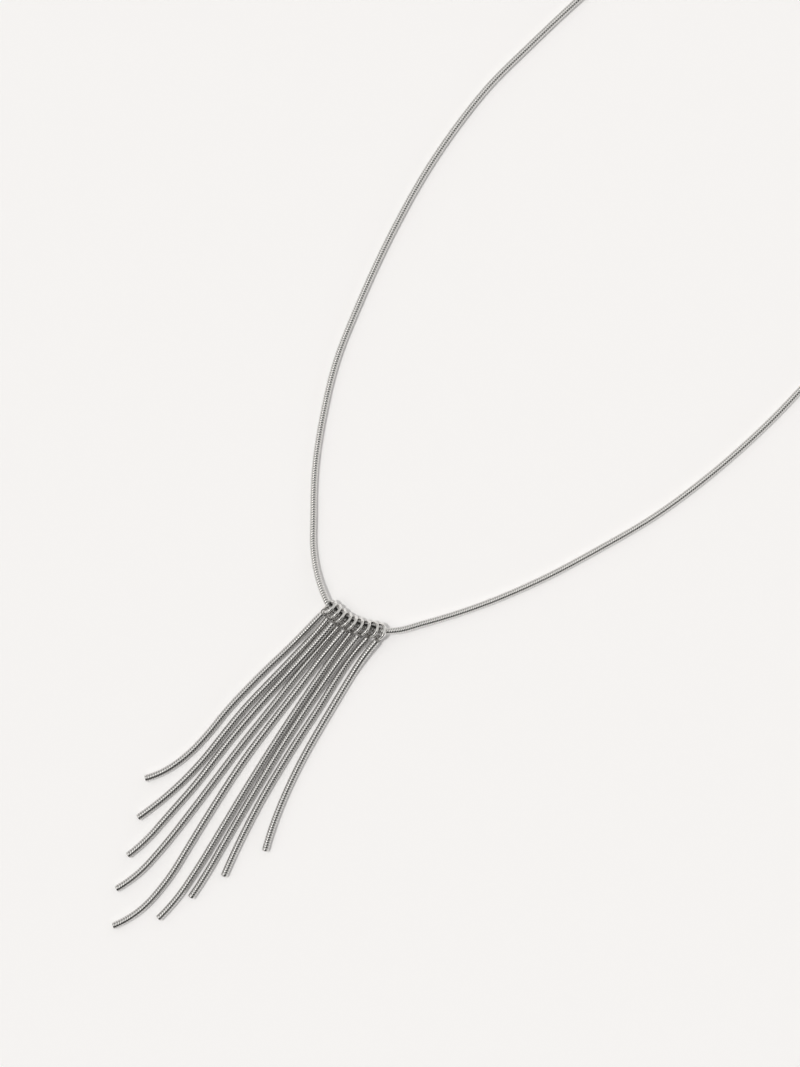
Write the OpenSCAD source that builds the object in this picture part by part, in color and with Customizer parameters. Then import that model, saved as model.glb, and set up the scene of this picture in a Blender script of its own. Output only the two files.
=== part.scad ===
// A necklace of round snake chain with a graduated fringe. It lies flat on a surface, millimetres, +Z up.
// The fringe points towards -Y, the clasp lies at +Y, and the surface is z = 0.

/* [Chains] */
// Outer diameter of the chain round the neck
chain_d = 1.4; // [1.2:0.05:1.4]
// Outer diameter of each hanging strand's chain
strand_d = 1.5; // [1.2:0.05:1.5]
// Longest straight stretch of a swept chain
chain_facet = 6; // [5:0.5:8]
// Longest straight stretch of a swept strand
strand_facet = 3.2; // [3:0.1:5]

/* [Fringe] */
// Length of the middle strand, without its eye
longest = 79.4; // [70:0.2:85]
// How much shorter each strand is than its neighbour nearer the middle
strand_step = 7.2; // [6:0.1:8]
// Wire of the eye soldered to a strand's top
eye_wire = 0.35; // [0.3:0.01:0.36]
// Radius of an eye, to the middle of its wire
eye_r = 0.66; // [0.65:0.01:0.68]

/* [Jump rings] */
// Outer diameter of a jump ring
ring_od = 3.9; // [3.9:0.02:4]
// Wire of a jump ring
ring_wire = 0.7; // [0.6:0.05:0.7]

/* [Back of the neck] */
// Radius of the arc that the chain takes behind the neck
neck_r = 45; // [44.5:0.5:46]
// Where the middle of that arc lies along the piece
neck_y = 86; // [80:0.5:90]

/* [Clasp] */
// Outer diameter of the round clasp
clasp_od = 6; // [5.8:0.1:6.4]
// Wire of the round clasp
clasp_wire = 1.2; // [1:0.05:1.2]
// Wire of the clasp's own eye
clasp_eye_wire = 0.7; // [0.6:0.05:0.7]
// Radius of the clasp's own eye, to the middle of its wire
clasp_eye_r = 0.9; // [0.85:0.05:1]
// Outer diameter of an end cap
cap_d = 2.2; // [2:0.1:2.6]
// Length of an end cap, without its loop
cap_l = 5; // [4:0.5:6]
// Wire of an end cap's loop
loop_wire = 0.5; // [0.4:0.05:0.5]
// Radius of an end cap's loop, to the middle of its wire
loop_r = 1.05; // [1.05:0.05:1.2]

/* [Hidden] */
$fn = 48;

// The chain's route down its left side, from behind the neck to the first jump ring: x, y and how far it is lifted
LEFT_ROUTE = [
    [-45.5, 74.5, 0],
    [-46, 59.5, 0],
    [-46, 46.5, 0],
    [-45, 37.5, 0],
    [-43, 26.5, 0],
    [-38.5, 10.5, 0],
    [-33, -4.5, 0],
    [-27.5, -17, 0],
    [-22, -26, 0],
    [-15, -35.5, 0],
    [-8, -43, 0],
    [-3.5, -47.5, 0.05],
    [0.5, -50.5, 0.4],
    [4.5, -52.6, 0.95]
];
// The same up its right side, from the last jump ring
RIGHT_ROUTE = [
    [21, -47.5, 0.8],
    [24, -42.5, 0.3],
    [29.5, -32, 0],
    [35, -18.5, 0],
    [39, -5.5, 0],
    [42.5, 8, 0],
    [44.5, 21.5, 0],
    [45.5, 38.5, 0],
    [45, 56, 0]
];

// Jump rings from left to right: the middle's x and y, the way its long axis points, in degrees from -Y to +X,
// and how far it leans over to the right from upright, in degrees
RING_X = 0;
RING_Y = 1;
RING_HEADING = 2;
RING_LEAN = 3;
RINGS = [
    [7.7, -53.8, -3, 20],
    [9.1, -53.7, 2, 22],
    [10.45, -53.6, 4, 21],
    [11.9, -53.4, 1, 25],
    [13.2, -53, 4, 22],
    [14.5, -52.5, 7, 30],
    [15.9, -51.75, 9, 29],
    [17.3, -50.8, 18, 38],
    [18.7, -50.05, 27, 39]
];

// Strands from left to right: the way each points at nine even places along it, in degrees from -Y to +X, how far
// up round the jump ring its eye sits and how far the eye tilts, in degrees, the length it comes down over, and how
// much longer it is than its place in the fringe asks for
HEADINGS = 0;
EYE_UP = 1;
EYE_TILT = 2;
DOWN_OVER = 3;
LONGER = 4;
STRANDS = [
    [[1, 1, -2, 0, 2, 7, 1, -11, -30], 11, 0, 10, 0.6],
    [[6, 2, 1, 1, 6, 7, 1, -5, -10], -10, 0, 6, 0],
    [[5, 3, 2, 4, 6, 8, 3, 4, -8], 11, 1, 20, 0],
    [[3, 5, 7, 6, 8, 8, 7, 3, -15], -12, 2, 6, 0],
    [[4, 8, 7, 8, 12, 13, 14, 3, -23], 11, 0, 12, 0],
    [[7, 10, 11, 12, 13, 14, 14, 11, -1], -13, 6, 6, 0],
    [[6, 10, 11, 12, 14, 14, 15, 15, 10], 10, 8, 16, 0],
    [[1, 11, 14, 11, 13, 14, 17, 19, 22], -9, 20, 6, 0.4],
    [[4, 12, 14, 14, 15, 18, 21, 25, 30], 10, 26, 10, -0.7]
];
MIDDLE = 4;

// The gap left between pieces that are linked but not joined
gap = 0.1;
// Radius of a jump ring, to the middle of its wire
ring_r = (ring_od - ring_wire) / 2;
// The chain sits this far inwards and down from a ring's middle
chain_in = 0.17;
chain_down = 0.15;
// An eye's wire passes this far outwards of the ring's middle
eye_pass = 0.88;
strand_at = eye_pass + 2 * eye_r;

// The clasp: both loops stand upright on the surface and carry the flat round clasp between them
clasp_r = (clasp_od - clasp_wire) / 2;
loop_z = loop_r + loop_wire / 2;
clasp_z = loop_z - gap;
clasp_x = 1.4;
clasp_eye_x = clasp_x - clasp_od / 2 - clasp_eye_r - clasp_eye_wire / 2 + 0.25;
right_loop_x = clasp_x + clasp_r;
left_loop_x = clasp_eye_x - loop_r - gap;
back_y = neck_y + neck_r;
// An end cap follows the neck's arc
cap_turn = 9;
cap_wall = 1;
cap_from = loop_r - 0.1;
cap_bore_d = chain_d + gap;
chain_from = cap_from + cap_wall + gap;

function unit(v) = v / norm(v);
// A heading on the surface, in degrees from -Y to +X
function heading(a) = [sin(a), -cos(a)];

// A place in a jump ring's own plane: out along its long axis, and up it
function in_ring(i, out, up) =
    let (a = RINGS[i][RING_HEADING], lean = RINGS[i][RING_LEAN], aside = up * sin(lean))
    [
        RINGS[i][RING_X] + aside * cos(a) + out * sin(a),
        RINGS[i][RING_Y] + aside * sin(a) - out * cos(a),
        ring_wire / 2 + (ring_r + up) * cos(lean)
    ];

// A place on an end cap's axis, at a distance from its loop's middle; side is -1 on the left and 1 on the right
function on_cap(side, along) =
    [
        (side < 0 ? left_loop_x : right_loop_x) + side * along * cos(cap_turn),
        back_y - along * sin(cap_turn),
        loop_z
    ];

// A place on the surface or lifted above it, for the middle of the chain
function lying(p) = [p[0], p[1], p[2] + chain_d / 2];

// A place on the arc behind the neck, a degrees from its top
function on_neck(side, a, lift) = lying([side * neck_r * sin(a), neck_y + neck_r * cos(a), lift]);

// The chain's route from one end cap to the other
CHAIN_ROUTE = [
    on_cap(-1, chain_from),
    on_cap(-1, cap_from + cap_l + 1),
    on_neck(-1, 20, 0.25),
    on_neck(-1, 37, 0),
    on_neck(-1, 55, 0),
    on_neck(-1, 73, 0),
    each [for (p = LEFT_ROUTE) lying(p)],
    each [for (i = [0 : len(RINGS) - 1]) in_ring(i, -chain_in, -chain_down)],
    each [for (p = RIGHT_ROUTE) lying(p)],
    on_neck(1, 73, 0),
    on_neck(1, 55, 0),
    on_neck(1, 37, 0),
    on_neck(1, 20, 0.25),
    on_cap(1, cap_from + cap_l + 1),
    on_cap(1, chain_from)
];

// The route's direction at each of its points, with the nearer neighbour counting more
function slope(r, i) =
    i == 0 ? unit(r[1] - r[0]) :
    i == len(r) - 1 ? unit(r[i] - r[i - 1]) :
    let (before = r[i] - r[i - 1], after = r[i + 1] - r[i])
    (unit(before) * norm(after) + unit(after) * norm(before)) / (norm(before) + norm(after));

// A smooth curve between two neighbouring points of the route, at u from 0 to 1, no lower than the surface allows
function between(r, i, u) =
    let (
        d = norm(r[i + 1] - r[i]),
        a = slope(r, i) * d,
        b = slope(r, i + 1) * d,
        p = r[i] * (2 * pow(u, 3) - 3 * pow(u, 2) + 1) + a * (pow(u, 3) - 2 * pow(u, 2) + u)
            + r[i + 1] * (3 * pow(u, 2) - 2 * pow(u, 3)) + b * (pow(u, 3) - pow(u, 2))
    )
    [p[0], p[1], max(p[2], chain_d / 2)];

// The whole smooth curve, cut so that no stretch is much longer than facet
function smooth(r, facet) =
    [
        for (i = [0 : len(r) - 2])
            let (cuts = max(1, round(norm(r[i + 1] - r[i]) / facet)))
            for (k = [0 : cuts - 1]) between(r, i, k / cuts),
        r[len(r) - 1]
    ];

function strand_length(i) = longest - strand_step * abs(i - MIDDLE) + STRANDS[i][LONGER];

// The place where the eye's wire passes over the jump ring's wire, and the top of the strand straight out from it
function eye_wire_at(i) = let (a = STRANDS[i][EYE_UP]) in_ring(i, ring_r * cos(a), ring_r * sin(a));
function strand_top(i) =
    let (a = STRANDS[i][EYE_UP])
    in_ring(i, strand_at * cos(a), 0) + [0, 0, strand_at * sin(a) * cos(RINGS[i][RING_LEAN])];

// A strand's heading at a part of its length from 0 to 1
function strand_heading(i, part) =
    let (h = STRANDS[i][HEADINGS])
    lookup(part * (len(h) - 1), [for (k = [0 : len(h) - 1]) [k, h[k]]]);

// A strand's height at a distance from its top
function strand_height(i, along) =
    let (top = strand_top(i)[2], over = STRANDS[i][DOWN_OVER])
    along >= over ? strand_d / 2 : strand_d / 2 + (top - strand_d / 2) * (1 + cos(180 * along / over)) / 2;

// A strand's route, walked along its headings
function strand_route(i) =
    let (
        cuts = ceil(strand_length(i) / strand_facet),
        stretch = strand_length(i) / cuts,
        top = strand_top(i)
    )
    [
        for (
            k = 0, p = [top[0], top[1]];
            k <= cuts;
            p = p + stretch * heading(strand_heading(i, (k + 0.5) / cuts)), k = k + 1
        )
            [p[0], p[1], strand_height(i, k * stretch)]
    ];

// Eight corners round one point of a swept route, square to it, with a corner at the bottom
SIDES = 8;
function collar(route, i, r) =
    let (
        last = len(route) - 1,
        along = unit(route[min(i + 1, last)] - route[max(i - 1, 0)]),
        aside = unit(cross(along, [0, 0, 1])),
        up = cross(aside, along)
    )
    [for (k = [0 : SIDES - 1]) route[i] + r * (cos(360 * k / SIDES) * aside + sin(360 * k / SIDES) * up)];

// A solid swept along a route
module sweep(route, d) {
    last = len(route) - 1;
    corners = [for (i = [0 : last]) each collar(route, i, d / 2)];
    start = [for (k = [SIDES - 1 : -1 : 0]) k];
    end = [for (k = [0 : SIDES - 1]) last * SIDES + k];
    skin = [
        for (i = [0 : last - 1], k = [0 : SIDES - 1])
            let (a = i * SIDES + k, b = i * SIDES + (k + 1) % SIDES)
            each [[a, b, b + SIDES], [a, b + SIDES, a + SIDES]]
    ];
    polyhedron(points = corners, faces = concat([start, end], skin));
}

// A round ring of wire, flat on z = 0 through its middle
module wire_ring(r, wire) {
    rotate_extrude() translate([r, 0]) circle(d = wire);
}

module main_chain() {
    color("silver") sweep(smooth(CHAIN_ROUTE, chain_facet), chain_d);
}

module jump_ring(i) {
    color("gainsboro")
        translate(in_ring(i, 0, 0))
            rotate([0, 90 + RINGS[i][RING_LEAN], RINGS[i][RING_HEADING]])
                wire_ring(ring_r, ring_wire);
}

// A strand of chain with its eye soldered to the top
module strand(i) {
    along = unit(strand_top(i) - eye_wire_at(i));
    color("silver") {
        sweep(strand_route(i), strand_d);
        translate(strand_top(i) - eye_r * along)
            rotate([-asin(along[2]), 0, atan2(along[0], -along[1])])
                rotate([0, STRANDS[i][EYE_TILT], 0])
                    wire_ring(eye_r, eye_wire);
    }
}

// A tube closed at one end, with an upright loop soldered to that end
module end_cap(side) {
    color("gainsboro")
        translate(on_cap(side, 0))
            rotate([0, 0, side < 0 ? 180 + cap_turn : -cap_turn]) {
                rotate([90, 0, 0]) wire_ring(loop_r, loop_wire);
                rotate([0, 90, 0]) difference() {
                    translate([0, 0, cap_from]) cylinder(d = cap_d, h = cap_l);
                    translate([0, 0, cap_from + cap_wall]) cylinder(d = cap_bore_d, h = cap_l);
                }
            }
}

// A plain round clasp with its own eye, in one piece
module clasp() {
    color("gainsboro")
        translate([clasp_x, back_y, clasp_z]) {
            wire_ring(clasp_r, clasp_wire);
            translate([clasp_eye_x - clasp_x, 0, 0]) wire_ring(clasp_eye_r, clasp_eye_wire);
        }
}

main_chain();
for (i = [0 : len(RINGS) - 1]) {
    jump_ring(i);
    strand(i);
}
end_cap(-1);  // end_cap_left
end_cap(1);  // end_cap_right
clasp();
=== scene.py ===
import math
from collections import namedtuple

import bpy
import numpy as np
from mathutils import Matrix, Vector


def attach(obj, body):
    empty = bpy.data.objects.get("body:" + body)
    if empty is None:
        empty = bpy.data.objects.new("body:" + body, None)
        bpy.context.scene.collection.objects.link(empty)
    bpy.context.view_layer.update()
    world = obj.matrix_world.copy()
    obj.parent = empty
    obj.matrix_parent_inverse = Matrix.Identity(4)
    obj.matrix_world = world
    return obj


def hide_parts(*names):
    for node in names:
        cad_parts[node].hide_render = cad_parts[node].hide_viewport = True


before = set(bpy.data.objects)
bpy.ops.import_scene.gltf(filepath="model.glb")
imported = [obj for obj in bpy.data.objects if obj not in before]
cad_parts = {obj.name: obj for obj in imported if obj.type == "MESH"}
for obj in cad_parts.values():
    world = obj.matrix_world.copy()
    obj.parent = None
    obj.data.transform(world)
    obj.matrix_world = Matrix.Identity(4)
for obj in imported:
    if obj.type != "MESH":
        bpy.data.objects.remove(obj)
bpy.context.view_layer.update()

# Sizes and routes are those of the solids. They are in metres, and angles are in degrees

# The outer diameter of the chain round the neck, and of a strand's chain
CHAIN_D = 0.0014
STRAND_D = 0.0015
# The middle strand's length without its eye, and how much shorter each next strand outwards is
LONGEST = 0.0794
STRAND_STEP = 0.0072
# The wire of a strand's eye, and the eye's radius to the middle of that wire
EYE_WIRE = 0.00035
EYE_R = 0.00066
# A jump ring's outer diameter, its wire, and its radius to the middle of that wire
RING_OD = 0.0039
RING_WIRE = 0.0007
RING_R = (RING_OD - RING_WIRE) / 2
# The radius of the chain's arc behind the neck, and how far along the piece its middle and its top lie
NECK_R = 0.045
NECK_Y = 0.086
BACK_Y = NECK_Y + NECK_R
# The round clasp, its wire, its own eye, and how far that eye is sunk into it
CLASP_OD = 0.006
CLASP_WIRE = 0.0012
CLASP_R = (CLASP_OD - CLASP_WIRE) / 2
CLASP_EYE_WIRE = 0.0007
CLASP_EYE_R = 0.0009
CLASP_EYE_SUNK = 0.00025
# An end cap's length, the wall at the end of its bore, its loop, and how far that is sunk into it
CAP_L = 0.005
CAP_WALL = 0.001
LOOP_WIRE = 0.0005
LOOP_R = 0.00105
LOOP_SUNK = 0.0001
# The gap left between pieces that are linked but not joined
GAP = 0.0001
# The chain sits this far inwards and down from a ring's middle
CHAIN_IN = 0.00017
CHAIN_DOWN = 0.00015
# An eye's wire passes this far outwards of the ring's middle, and the strand begins below the eye
EYE_PASS = 0.00088
STRAND_AT = EYE_PASS + 2 * EYE_R
# Where the clasp and the caps' loops lie at the back
CLASP_X = 0.0014
CLASP_EYE_X = CLASP_X - CLASP_OD / 2 - CLASP_EYE_R - CLASP_EYE_WIRE / 2 + CLASP_EYE_SUNK
RIGHT_LOOP_X = CLASP_X + CLASP_R
LEFT_LOOP_X = CLASP_EYE_X - LOOP_R - GAP
LOOP_Z = LOOP_R + LOOP_WIRE / 2
# A cap's turn off the X axis, and how far from its loop's middle it and the chain in it begin
CAP_TURN = 9
CAP_FROM = LOOP_R - LOOP_SUNK
CHAIN_FROM = CAP_FROM + CAP_WALL + GAP
# How far the chain still runs straight on from a cap
OUT_OF_CAP = 0.001

# Places on the arc behind the neck: the angle from its top, and how far the chain is lifted
BACK_PLACES = [(20, 0.00025), (37, 0), (55, 0), (73, 0)]

# The chain's route down its left side and up its right side: x, y, and how far it is lifted
LEFT_ROUTE = [
    (-0.0455, 0.0745, 0),
    (-0.046, 0.0595, 0),
    (-0.046, 0.0465, 0),
    (-0.045, 0.0375, 0),
    (-0.043, 0.0265, 0),
    (-0.0385, 0.0105, 0),
    (-0.033, -0.0045, 0),
    (-0.0275, -0.017, 0),
    (-0.022, -0.026, 0),
    (-0.015, -0.0355, 0),
    (-0.008, -0.043, 0),
    (-0.0035, -0.0475, 0.00005),
    (0.0005, -0.0505, 0.0004),
    (0.0045, -0.0526, 0.00095),
]
RIGHT_ROUTE = [
    (0.021, -0.0475, 0.0008),
    (0.024, -0.0425, 0.0003),
    (0.0295, -0.032, 0),
    (0.035, -0.0185, 0),
    (0.039, -0.0055, 0),
    (0.0425, 0.008, 0),
    (0.0445, 0.0215, 0),
    (0.0455, 0.0385, 0),
    (0.045, 0.056, 0),
]
# How many steps the curve between two points of the route is cut into
ROUTE_CUTS = 40

# Jump rings from left to right: the middle, the long axis's heading from -Y to +X, and the lean to +X
Ring = namedtuple("Ring", "x y heading lean")
RINGS = [
    Ring(0.0077, -0.0538, -3, 20),
    Ring(0.0091, -0.0537, 2, 22),
    Ring(0.01045, -0.0536, 4, 21),
    Ring(0.0119, -0.0534, 1, 25),
    Ring(0.0132, -0.053, 4, 22),
    Ring(0.0145, -0.0525, 7, 30),
    Ring(0.0159, -0.05175, 9, 29),
    Ring(0.0173, -0.0508, 18, 38),
    Ring(0.0187, -0.05005, 27, 39),
]

# Strands from left to right: headings at nine even places, how far up round its ring the eye sits and how
# far it tilts, the length the strand comes down over, and how much longer it is than its place asks for.
# Then come the turn of its links' wave at the top, in radians, how much that turns in each metre, and how
# far the solder on its free end stands out, as a part of its radius
Strand = namedtuple("Strand", "headings eye_up eye_tilt down_over longer roll twist dome")
STRANDS = [
    Strand([1, 1, -2, 0, 2, 7, 1, -11, -30], 11, 0, 0.010, 0.0006, 0.2, 6, 0.1),
    Strand([6, 2, 1, 1, 6, 7, 1, -5, -10], -10, 0, 0.006, 0, 1.1, -8, 0.25),
    Strand([5, 3, 2, 4, 6, 8, 3, 4, -8], 11, 1, 0.020, 0, 0.5, 10, 0.4),
    Strand([3, 5, 7, 6, 8, 8, 7, 3, -15], -12, 2, 0.006, 0, 0.0, -5, 0.3),
    Strand([4, 8, 7, 8, 12, 13, 14, 3, -23], 11, 0, 0.012, 0, 0.8, 7, 0.1),
    Strand([7, 10, 11, 12, 13, 14, 14, 11, -1], -13, 6, 0.006, 0, 0.3, -9, 0.35),
    Strand([6, 10, 11, 12, 14, 14, 15, 15, 10], 10, 8, 0.016, 0, 1.3, 5, 0.65),
    Strand([1, 11, 14, 11, 13, 14, 17, 19, 22], -9, 20, 0.006, 0.0004, 0.6, -12, 0.75),
    Strand([4, 12, 14, 14, 15, 18, 21, 25, 30], 10, 26, 0.010, -0.0007, 0.9, 14, 0.6),
]
MIDDLE = 4
# How far apart the points of a strand's path are, at most
STRAND_CUT = 0.0002

# Snake chain: its diameter, its links' pitch, the depth of the grooves between them as a part of its
# radius, the wave of the links' edges, and the number of points round it
Kind = namedtuple("Kind", "d pitch depth wave around")
NECK_KIND = Kind(CHAIN_D, 0.00051, 0.09, 0.00004, 18)
FRINGE_KIND = Kind(STRAND_D, 0.00055, 0.08, 0.00007, 24)
# The number of waves round a link
WAVES = 4
# The turn of the neck chain's wave at its left end, in radians, and how much that turns in each metre
NECK_ROLL = 0.3
NECK_TWIST = 9.0
# One link from groove to groove: the part of the pitch, and how far the surface has risen there
LINK = [(0.0, 0.0), (0.1, 0.5), (0.27, 0.88), (0.5, 1.0), (0.73, 0.88), (0.9, 0.5)]
# How long a chain's first and last stretch without grooves are, and how gently grooves and waves begin
NECK_PLAIN = (0.0003, 0.0003)
STRAND_PLAIN = (0.00025, 0.00012)
GROOVE_FADE = 0.0001
WAVE_FADE = 0.0008
# How deep the dishes in the neck chain's ends and the strands' tops are, as a part of the radius
NECK_DISH = 0.15
TOP_DISH = 0.05
# The angle between a dome's rings
DOME_STEP = 15
# A path's direction is taken from places this far behind and ahead
LOOK = 0.0003
# The number of points round an eye and round its wire
EYE_AROUND = 48
EYE_SIDES = 16

# The stretch of chain that the rings hold, where shade is painted on it: its middle, its reach, and how wide
# the edge of its painted shade is
HELD = (0.0131, -0.0525)
HELD_REACH = 0.0065
HELD_FADE = 0.0005
# How dark the painted shade is towards the fringe and away from it, and where on the way from 0 to 1 that
# changes
HELD_PAINTED_SHADE = (0.4, 1.0)
HELD_SHADE_SIDES = (0.3, 0.7)
# How dark the strands' eyes are painted, as painted shade, and how dark the neck chain's grooves are, partly
# tarnish and partly painted shade
EYE_PAINTED_SHADE = 0.8
NECK_GROOVES = 0.45


def unit(v):
    return v / np.linalg.norm(v)


def round_angles(count):
    return 2 * np.pi * np.arange(count) / count


def in_ring(i, out, up):
    """A place in a jump ring's own plane: out along its long axis, and up it."""
    ring = RINGS[i]
    heading = math.radians(ring.heading)
    lean = math.radians(ring.lean)
    aside = up * math.sin(lean)
    x = ring.x + aside * math.cos(heading) + out * math.sin(heading)
    y = ring.y + aside * math.sin(heading) - out * math.cos(heading)
    return np.array([x, y, RING_WIRE / 2 + (RING_R + up) * math.cos(lean)])


def on_cap(side, along):
    """A place on a cap's axis, by its distance from the loop; side is -1 on the left and 1 on the right."""
    turn = math.radians(CAP_TURN)
    loop_x = LEFT_LOOP_X if side < 0 else RIGHT_LOOP_X
    return np.array([loop_x + side * along * math.cos(turn), BACK_Y - along * math.sin(turn), LOOP_Z])


def lying(p):
    """The chain's middle at a place on the surface, or lifted above it."""
    return np.array([p[0], p[1], p[2] + CHAIN_D / 2])


def on_neck(side, angle, lift):
    a = math.radians(angle)
    return lying((side * NECK_R * math.sin(a), NECK_Y + NECK_R * math.cos(a), lift))


def chain_route():
    """The points of the neck chain's route, from one end cap to the other."""
    return (
        [on_cap(-1, CHAIN_FROM), on_cap(-1, CAP_FROM + CAP_L + OUT_OF_CAP)]
        + [on_neck(-1, angle, lift) for angle, lift in BACK_PLACES]
        + [lying(p) for p in LEFT_ROUTE]
        + [in_ring(i, -CHAIN_IN, -CHAIN_DOWN) for i in range(len(RINGS))]
        + [lying(p) for p in RIGHT_ROUTE]
        + [on_neck(1, angle, lift) for angle, lift in reversed(BACK_PLACES)]
        + [on_cap(1, CAP_FROM + CAP_L + OUT_OF_CAP), on_cap(1, CHAIN_FROM)]
    )


def slope(r, i):
    """The route's direction at one of its points, with the nearer neighbour counting more."""
    if i == 0:
        return unit(r[1] - r[0])
    if i == len(r) - 1:
        return unit(r[i] - r[i - 1])
    before = r[i] - r[i - 1]
    after = r[i + 1] - r[i]
    b, a = np.linalg.norm(before), np.linalg.norm(after)
    return (unit(before) * a + unit(after) * b) / (a + b)


def smooth(r):
    """The smooth curve through the route's points, no lower than the surface allows."""
    path = []
    for i in range(len(r) - 1):
        d = np.linalg.norm(r[i + 1] - r[i])
        a = slope(r, i) * d
        b = slope(r, i + 1) * d
        for k in range(ROUTE_CUTS):
            u = k / ROUTE_CUTS
            p = (
                r[i] * (2 * u**3 - 3 * u**2 + 1)
                + a * (u**3 - 2 * u**2 + u)
                + r[i + 1] * (3 * u**2 - 2 * u**3)
                + b * (u**3 - u**2)
            )
            p[2] = max(p[2], CHAIN_D / 2)
            path.append(p)
    path.append(r[-1])
    return np.array(path)


def eye_wire_at(i):
    """The middle of the ring's wire where a strand's eye hangs on it."""
    a = math.radians(STRANDS[i].eye_up)
    return in_ring(i, RING_R * math.cos(a), RING_R * math.sin(a))


def strand_top(i):
    """The top of a strand's chain, where its eye is soldered on."""
    a = math.radians(STRANDS[i].eye_up)
    p = in_ring(i, STRAND_AT * math.cos(a), 0)
    p[2] += STRAND_AT * math.sin(a) * math.cos(math.radians(RINGS[i].lean))
    return p


def strand_path(i):
    """The points of a strand's path from its top: level steps along its headings, while it comes down."""
    strand = STRANDS[i]
    length = LONGEST - STRAND_STEP * abs(i - MIDDLE) + strand.longer
    cuts = math.ceil(length / STRAND_CUT)
    stretch = length / cuts
    top = strand_top(i)
    middles = (np.arange(cuts) + 0.5) / cuts
    turn = np.radians(np.interp(middles, np.linspace(0, 1, len(strand.headings)), strand.headings))
    steps = stretch * np.stack([np.sin(turn), -np.cos(turn)], axis=1)
    flat = np.vstack([top[:2], top[:2] + np.cumsum(steps, axis=0)])
    along = np.arange(cuts + 1) * stretch
    low = STRAND_D / 2
    coming_down = low + (top[2] - low) * (1 + np.cos(np.pi * along / strand.down_over)) / 2
    return np.column_stack([flat, np.where(along >= strand.down_over, low, coming_down)])


def length_of(path):
    return float(np.linalg.norm(np.diff(path, axis=0), axis=1).sum())


def resample(path, at):
    """The path's points at the given distances along it."""
    d = np.concatenate([[0], np.cumsum(np.linalg.norm(np.diff(path, axis=0), axis=1))])
    return np.column_stack([np.interp(at, d, path[:, k]) for k in range(3)])


def frames(path, at):
    """A path's points, directions, and level and upward cross directions, at distances along it."""
    p = resample(path, at)
    ahead = resample(path, np.minimum(at + LOOK, length_of(path)))
    behind = resample(path, np.maximum(at - LOOK, 0))
    along = ahead - behind
    along /= np.linalg.norm(along, axis=1)[:, None]
    aside = np.cross(along, np.array([0.0, 0.0, 1.0]))
    aside /= np.linalg.norm(aside, axis=1)[:, None]
    return p, along, aside, np.cross(aside, along)


def inside_ends(at, total, start, end, fade):
    """0 in a chain's first and last stretch, and 1 further in, after an even change over the fade."""
    return np.clip((at - start) / fade, 0, 1) * np.clip((total - end - at) / fade, 0, 1)


def grid_faces(rows, around):
    """The quads between rows of points that each close round."""
    a = np.arange(rows - 1)[:, None] * around + np.arange(around)[None, :]
    b = np.arange(rows - 1)[:, None] * around + (np.arange(around)[None, :] + 1) % around
    return np.stack([a, b, b + around, a + around], axis=2).reshape(-1, 4)


def snake(path, kind, roll, twist, plain):
    """A snake chain's skin along a path: points, faces, and how far each point lies down in the grooves,
    which also sets how dark it is painted.
    """
    total = length_of(path)
    links = max(1, round(total / kind.pitch))
    parts, rises = np.array(LINK).T
    at = ((np.arange(links)[:, None] + parts[None, :]) * (total / links)).ravel()
    at = np.append(at, total)
    rise = np.append(np.tile(rises, links), 0.0)
    theta = round_angles(kind.around)
    turn = theta[None, :] + roll + twist * at[:, None]
    shift = kind.wave * np.cos(WAVES * turn) * inside_ends(at, total, 0, 0, WAVE_FADE)[:, None]
    s = np.clip(at[:, None] + shift, 0, total)
    p, _, aside, up = frames(path, s.ravel())
    down = (1 - rise) * inside_ends(at, total, *plain, GROOVE_FADE)
    r = np.repeat(kind.d / 2 * (1 - kind.depth * down), kind.around)
    t = np.tile(theta, len(at))
    points = p + r[:, None] * (np.cos(t)[:, None] * aside + np.sin(t)[:, None] * up)
    return points, grid_faces(len(at), kind.around), np.repeat(down, kind.around)


def dished(depth):
    """The rings of a flat end with a shallow dish in it: how wide each is, and how far it stands out."""
    return [(1.0, 0.0), (0.94, 0.0), (0.86, -0.02), (0.6, -depth * 0.7), (0.25, -depth), (0.0, -depth)]


def domed(height):
    """The rings of a domed end: how wide each is, and how far it stands out."""
    angles = np.radians(range(0, 91, DOME_STEP))
    return [(math.cos(a), height * math.sin(a)) for a in angles]


def capped(path, kind, end, rings):
    """One end of a chain, made of rings from its rim to its middle: points and faces."""
    at = length_of(path) if end else 0.0
    p, along, aside, up = (rows[0] for rows in frames(path, np.array([at])))
    out = along if end else -along
    theta = round_angles(kind.around)
    circle = np.cos(theta)[:, None] * aside + np.sin(theta)[:, None] * up
    r = kind.d / 2
    points = [p + r * wide * circle + out * r * stands for wide, stands in rings[:-1]]
    points = np.vstack(points + [p + out * r * rings[-1][1]])
    middle = len(points) - 1
    last = middle - kind.around
    faces = [tuple(quad) for quad in grid_faces(len(rings) - 1, kind.around)]
    faces += [(last + k, last + (k + 1) % kind.around, middle) for k in range(kind.around)]
    if not end:
        faces = [tuple(reversed(face)) for face in faces]
    return points, faces


def torus(middle, r, wire, x_axis, y_axis):
    """A closed ring of round wire in the plane of two axes: points and faces."""
    z_axis = np.cross(x_axis, y_axis)
    a = round_angles(EYE_AROUND)
    b = round_angles(EYE_SIDES)
    out = np.cos(a)[:, None] * x_axis + np.sin(a)[:, None] * y_axis
    bulge = np.cos(b)[None, :, None] * out[:, None, :] + np.sin(b)[None, :, None] * z_axis
    points = (middle + r * out[:, None, :] + wire / 2 * bulge).reshape(-1, 3)
    faces = []
    for i in range(EYE_AROUND):
        row = i * EYE_SIDES
        next_row = (i + 1) % EYE_AROUND * EYE_SIDES
        for k in range(EYE_SIDES):
            m = (k + 1) % EYE_SIDES
            faces.append((row + k, next_row + k, next_row + m, row + m))
    return points, faces


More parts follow.
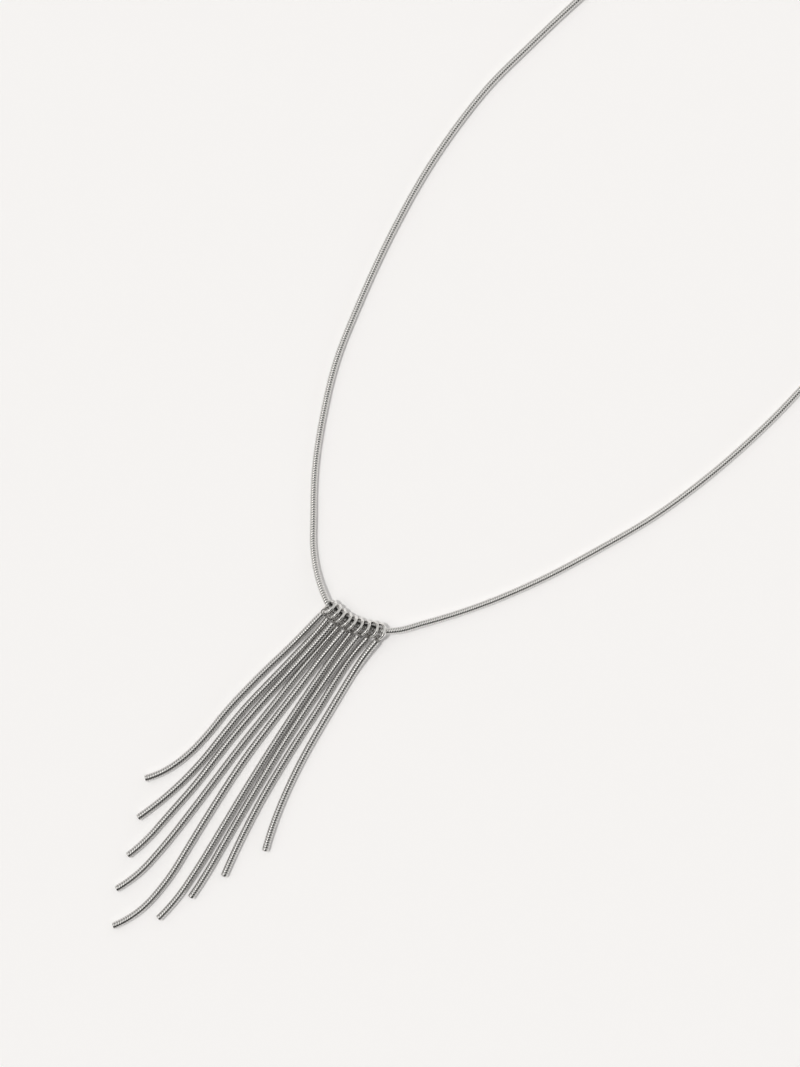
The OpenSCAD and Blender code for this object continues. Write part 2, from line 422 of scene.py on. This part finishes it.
class Skin:
    """One piece's points and faces, and how dark each point is painted, as tarnish and painted shade, put
    together from parts.
    """

    def __init__(self):
        self.points = []
        self.faces = []
        self.dark = []

    def add(self, points, faces, dark):
        first = len(self.points)
        self.points += [tuple(p) for p in points]
        self.faces += [tuple(first + int(k) for k in face) for face in faces]
        self.dark += list(np.broadcast_to(dark, len(points)))

    def piece(self, name, material):
        mesh = bpy.data.meshes.new(name)
        mesh.from_pydata(self.points, [], self.faces)
        mesh.validate()
        mesh.update()
        mesh.polygons.foreach_set("use_smooth", [True] * len(mesh.polygons))
        # The dark marks, tarnish and painted shade, go to the material as an attribute
        shade_and_tarnish = mesh.attributes.new("shade_and_tarnish", "FLOAT", "POINT")
        shade_and_tarnish.data.foreach_set("value", np.array(self.dark, np.float32))
        mesh.materials.append(material)
        obj = bpy.data.objects.new(name, mesh)
        bpy.context.scene.collection.objects.link(obj)
        return obj


def ring_painted_shade(points, around):
    """How dark the painted shade is at each point of the neck chain where the rings hold it."""
    away = np.tile(0.5 - 0.5 * np.cos(round_angles(around)), len(points) // around)
    held = np.hypot(points[:, 0] - HELD[0], points[:, 1] - HELD[1])
    return np.interp(away, HELD_SHADE_SIDES, HELD_PAINTED_SHADE) * np.clip((HELD_REACH - held) / HELD_FADE, 0, 1)


def neck_chain(material):
    """The chain round the neck, with a flat cut at each end."""
    path = smooth(chain_route())
    skin = Skin()
    points, faces, down = snake(path, NECK_KIND, NECK_ROLL, NECK_TWIST, NECK_PLAIN)
    # Darker in its grooves, partly tarnish and partly painted shade, and with painted shade where the rings
    # hold it
    skin.add(points, faces, np.maximum(NECK_GROOVES * down, ring_painted_shade(points, NECK_KIND.around)))
    for end in (False, True):
        skin.add(*capped(path, NECK_KIND, end, dished(NECK_DISH)), 0)
    chain = skin.piece("neck_chain", material)
    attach(chain, "root")
    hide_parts("main_chain")


def strand_eye(i):
    """The wire eye on a strand's top, round its jump ring: points and faces."""
    along = unit(strand_top(i) - eye_wire_at(i))
    level = unit(np.cross([0.0, 0, 1], along))
    tilt = math.radians(STRANDS[i].eye_tilt)
    across = math.cos(tilt) * level - math.sin(tilt) * np.cross(along, level)
    return torus(strand_top(i) - EYE_R * along, EYE_R, EYE_WIRE, along, across)


def fringe_strand(i, material):
    """One strand with its eye, and with a dome of solder on its free end."""
    strand = STRANDS[i]
    path = strand_path(i)
    skin = Skin()
    # Its grooves are darkened, partly as tarnish and partly as painted shade
    skin.add(*snake(path, FRINGE_KIND, strand.roll, strand.twist, STRAND_PLAIN))
    skin.add(*capped(path, FRINGE_KIND, False, dished(TOP_DISH)), 0)
    skin.add(*capped(path, FRINGE_KIND, True, domed(strand.dome)), 0)
    # Its eye is painted dark: painted shade between the rings' lower ends
    skin.add(*strand_eye(i), EYE_PAINTED_SHADE)
    obj = skin.piece(f"fringe_strand_{i + 1}", material)
    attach(obj, "root")
    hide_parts(f"strand_{i + 1}")


# Silver: how bright its duller clouds are, how fine its clouds and scratches are, and how deep a scratch is
DULL = 0.94
CLOUD_DETAIL = 4
SCRATCH_SCALE = 9000
SCRATCH_DETAIL = 2
SCRATCH_DEPTH = 0.00001
# The tint of the dark marks: tarnish and painted shade in grooves, and painted shade on the strands' eyes
# and where the rings hold the neck chain
SHADE_AND_TARNISH_TINT = (1, 0.97, 0.93)


def new_material(name):
    material = bpy.data.materials.new(name)
    material.use_nodes = True
    return material, material.node_tree, material.node_tree.nodes["Principled BSDF"]


def feed(tree, node, sources):
    """Set a node's sockets, by name or number, to values, or link them to other nodes' outputs."""
    for socket, source in sources.items():
        if isinstance(source, bpy.types.NodeSocket):
            tree.links.new(source, node.inputs[socket])
        else:
            node.inputs[socket].default_value = source
    return node


def noise(tree, place, scale, detail):
    sources = {"Vector": place, "Scale": scale, "Detail": detail}
    return feed(tree, tree.nodes.new("ShaderNodeTexNoise"), sources).outputs["Fac"]


def mixed(tree, factor, first, second):
    """A colour that goes from the first to the second as the factor goes from 0 to 1."""
    mix = tree.nodes.new("ShaderNodeMix")
    mix.data_type = "RGBA"
    return feed(tree, mix, {"Factor": factor, "A": first, "B": second}).outputs["Result"]


def tinted(value, tint):
    return (*[value * part for part in tint], 1)


def silver(name, color, rough, cloud_scale, scratches, shade_and_tarnish_tone=None):
    """Polished silver with faint clouds of wear, fine scratches, and, where it gets a tone, dark marks:
    partly tarnish and partly painted shade in grooves, and painted shade on the eyes and where the rings
    hold the chain.
    """
    material, tree, bsdf = new_material(name)
    place = tree.nodes.new("ShaderNodeTexCoord").outputs["Object"]
    cloud = noise(tree, place, cloud_scale, CLOUD_DETAIL)
    roughness = tree.nodes.new("ShaderNodeMapRange")
    feed(tree, roughness, {"Value": cloud, "To Min": rough[0], "To Max": rough[1]})
    base = mixed(tree, cloud, tinted(DULL, color), tinted(1, color))
    if shade_and_tarnish_tone:
        # Tarnish and painted shade darken the colour towards the tone
        shade_and_tarnish = tree.nodes.new("ShaderNodeAttribute")
        shade_and_tarnish.attribute_name = "shade_and_tarnish"
        base = mixed(tree, shade_and_tarnish.outputs["Fac"], base, tinted(shade_and_tarnish_tone, SHADE_AND_TARNISH_TINT))
    bump = tree.nodes.new("ShaderNodeBump")
    height = noise(tree, place, SCRATCH_SCALE, SCRATCH_DETAIL)
    feed(tree, bump, {"Height": height, "Strength": scratches, "Distance": SCRATCH_DEPTH})
    surface = {
        "Metallic": 1.0,
        "Base Color": base,
        "Roughness": roughness.outputs["Result"],
        "Normal": bump.outputs["Normal"],
    }
    feed(tree, bsdf, surface)
    return material


def recolor(obj, material):
    obj.data.materials.clear()
    obj.data.materials.append(material)


# Each silver's colour, its least and most roughness, the fineness of its clouds, its scratches' strength,
# and the tone of its dark marks, which are tarnish and painted shade
neck_silver = silver("neck_silver", (0.87, 0.86, 0.84), (0.20, 0.28), 900, 0.1, shade_and_tarnish_tone=0.03)
fringe_silver = silver("fringe_silver", (0.82, 0.81, 0.795), (0.13, 0.19), 900, 0.1, shade_and_tarnish_tone=0.3)
ring_silver = silver("ring_silver", (0.86, 0.85, 0.83), (0.07, 0.13), 1200, 0.1)
finding_silver = silver("finding_silver", (0.82, 0.81, 0.79), (0.12, 0.22), 700, 0.15)

neck_chain(neck_silver)
for i in range(len(STRANDS)):
    fringe_strand(i, fringe_silver)
for name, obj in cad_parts.items():
    if name.startswith("ring_"):
        recolor(obj, ring_silver)
    elif name.startswith("end_cap") or name == "clasp":
        recolor(obj, finding_silver)

# The floor lies just under the surface that the necklace lies on
FLOOR_HALF = 6.0
FLOOR_Z = -0.00002
FLOOR_LOOK = {
    "Base Color": (0.857, 0.848, 0.845, 1),
    "Roughness": 0.9,
    "Specular IOR Level": 0.1,
    "Emission Color": (0.99, 0.975, 0.973, 1),
    "Emission Strength": 0.1,
}


def pale_floor():
    corners = [(x * FLOOR_HALF, y * FLOOR_HALF, 0) for x, y in ((-1, -1), (1, -1), (1, 1), (-1, 1))]
    mesh = bpy.data.meshes.new("floor")
    mesh.from_pydata(corners, [], [(0, 1, 2, 3)])
    floor = bpy.data.objects.new("floor", mesh)
    bpy.context.scene.collection.objects.link(floor)
    floor.location.z = FLOOR_Z
    material, tree, bsdf = new_material("pale_floor")
    feed(tree, bsdf, FLOOR_LOOK)
    mesh.materials.append(material)


pale_floor()

# The camera stands straight above, turned so that the fringe points to the lower left
CAMERA_AT = (0.00724, -0.03247, 0.5298)
CAMERA_TURN = math.radians(45)
LENS = 85
SENSOR = 36
NEAREST = 0.01
FURTHEST = 50


def camera_above():
    camera = bpy.data.cameras.new("camera")
    camera.lens = LENS
    camera.sensor_width = SENSOR
    camera.clip_start = NEAREST
    camera.clip_end = FURTHEST
    obj = bpy.data.objects.new("camera", camera)
    obj.location = CAMERA_AT
    obj.rotation_euler = (0, 0, CAMERA_TURN)
    bpy.context.scene.collection.objects.link(obj)
    bpy.context.scene.camera = obj


camera_above()

# Across and up the camera's picture
RIGHT = np.array([math.cos(CAMERA_TURN), math.sin(CAMERA_TURN), 0])
UP = np.array([-math.sin(CAMERA_TURN), math.cos(CAMERA_TURN), 0])


def toward(right, up, elevation):
    """A direction from the object, given across and up the picture and by its angle above the horizon."""
    flat = unit(right * RIGHT + up * UP) * math.cos(math.radians(elevation))
    return np.array([flat[0], flat[1], math.sin(math.radians(elevation))])


# A soft key light from the left of the picture, which the shining metal doesn't reflect
KEY_FROM = toward(-1, 0.2, 70)
KEY_STRENGTH = 1.34
KEY_ANGLE = math.radians(5)
KEY_COLOR = (1, 0.99, 0.975)


def key_light():
    light = bpy.data.lights.new("key", "SUN")
    light.energy = KEY_STRENGTH
    light.angle = KEY_ANGLE
    light.color = KEY_COLOR
    obj = bpy.data.objects.new("key", light)
    obj.rotation_mode = "QUATERNION"
    obj.rotation_quaternion = Vector(KEY_FROM).to_track_quat("Z", "Y")
    obj.visible_glossy = False
    bpy.context.scene.collection.objects.link(obj)


key_light()

# The metal reflects a soft lamp instead: where it is, its colour, and where its glow begins and is full
LAMP_AT = toward(-1, -0.35, 55)
LAMP = (3, 2.95, 2.9, 1)
LAMP_EDGE = (math.cos(math.radians(13)), math.cos(math.radians(7)))
# The room in grey, by how far a direction tilts from straight up towards the lit side, in degrees:
# its brightness across the middle, towards the strands' tips, and towards the rings
LIT_SIDE = toward(-1, 0.8, 0)
ROOM = [
    (-90, 0.60, 0.55, 0.55),
    (-70, 0.60, 0.55, 0.60),
    (-58, 0.03, 0.05, 0.60),
    (-19, 0.02, 0.03, 0.57),
    (-5, 0.18, 0.15, 0.64),
    (6, 0.75, 0.50, 0.70),
    (18, 1.05, 0.70, 0.75),
    (38, 0.90, 0.70, 0.70),
    (54, 0.65, 0.55, 0.50),
    (90, 0.40, 0.40, 0.35),
]
ROOM_TINT = (1, 0.99, 0.97)
# How far a direction points towards the rings where the tips' side and the rings' side begin and are full
RING_SIDE = toward(0.8, 1, 0)
TIPS = (-0.15, -0.5)
RINGWARD = (0.05, 0.27)


def part_towards(tree, place, direction):
    """How far a place in the room lies in a direction, from -1 to 1."""
    dot = tree.nodes.new("ShaderNodeVectorMath")
    dot.operation = "DOT_PRODUCT"
    return feed(tree, dot, {0: place, 1: tuple(direction)}).outputs["Value"]


def room_column(tree, column, part):
    """One column of the room's table as a colour, by the part of the half turn that a direction tilts."""
    ramp = feed(tree, tree.nodes.new("ShaderNodeValToRGB"), {"Fac": part})
    for row in ROOM[1:-1]:
        ramp.color_ramp.elements.new((row[0] + 90) / 180)
    for stop, row in zip(ramp.color_ramp.elements, ROOM):
        stop.color = tinted(row[column], ROOM_TINT)
    return ramp.outputs["Color"]


def blended(tree, first, second, reach, value):
    """A colour that turns softly into another while a value goes from one end of its reach to the other."""
    fade = tree.nodes.new("ShaderNodeMapRange")
    fade.interpolation_type = "SMOOTHSTEP"
    feed(tree, fade, {"Value": value, "From Min": reach[0], "From Max": reach[1]})
    return mixed(tree, fade.outputs["Result"], first, second)


def reflected_room():
    world = bpy.data.worlds.new("world")
    bpy.context.scene.world = world
    world.use_nodes = True
    tree = world.node_tree
    place = tree.nodes.new("ShaderNodeTexCoord").outputs["Generated"]
    split = feed(tree, tree.nodes.new("ShaderNodeSeparateXYZ"), {"Vector": place})
    tilt = tree.nodes.new("ShaderNodeMath")
    tilt.operation = "ARCTAN2"
    feed(tree, tilt, {0: part_towards(tree, place, LIT_SIDE), 1: split.outputs["Z"]})
    part = tree.nodes.new("ShaderNodeMapRange")
    feed(tree, part, {"Value": tilt.outputs["Value"], "From Min": -math.pi / 2, "From Max": math.pi / 2})
    ringward = part_towards(tree, place, RING_SIDE)
    middle, tips, rings = (room_column(tree, column, part.outputs["Result"]) for column in (1, 2, 3))
    walls = blended(tree, middle, tips, TIPS, ringward)
    walls = blended(tree, walls, rings, RINGWARD, ringward)
    glow = blended(tree, walls, LAMP, LAMP_EDGE, part_towards(tree, place, LAMP_AT))
    feed(tree, tree.nodes["Background"], {"Color": glow, "Strength": 1.0})


reflected_room()

# The denoiser keeps the fine ribs when its guides stay as they are
bpy.context.scene.cycles.denoising_prefilter = "NONE"
bpy.context.scene.view_settings.view_transform = "Standard"
bpy.context.scene.view_settings.look = "None"
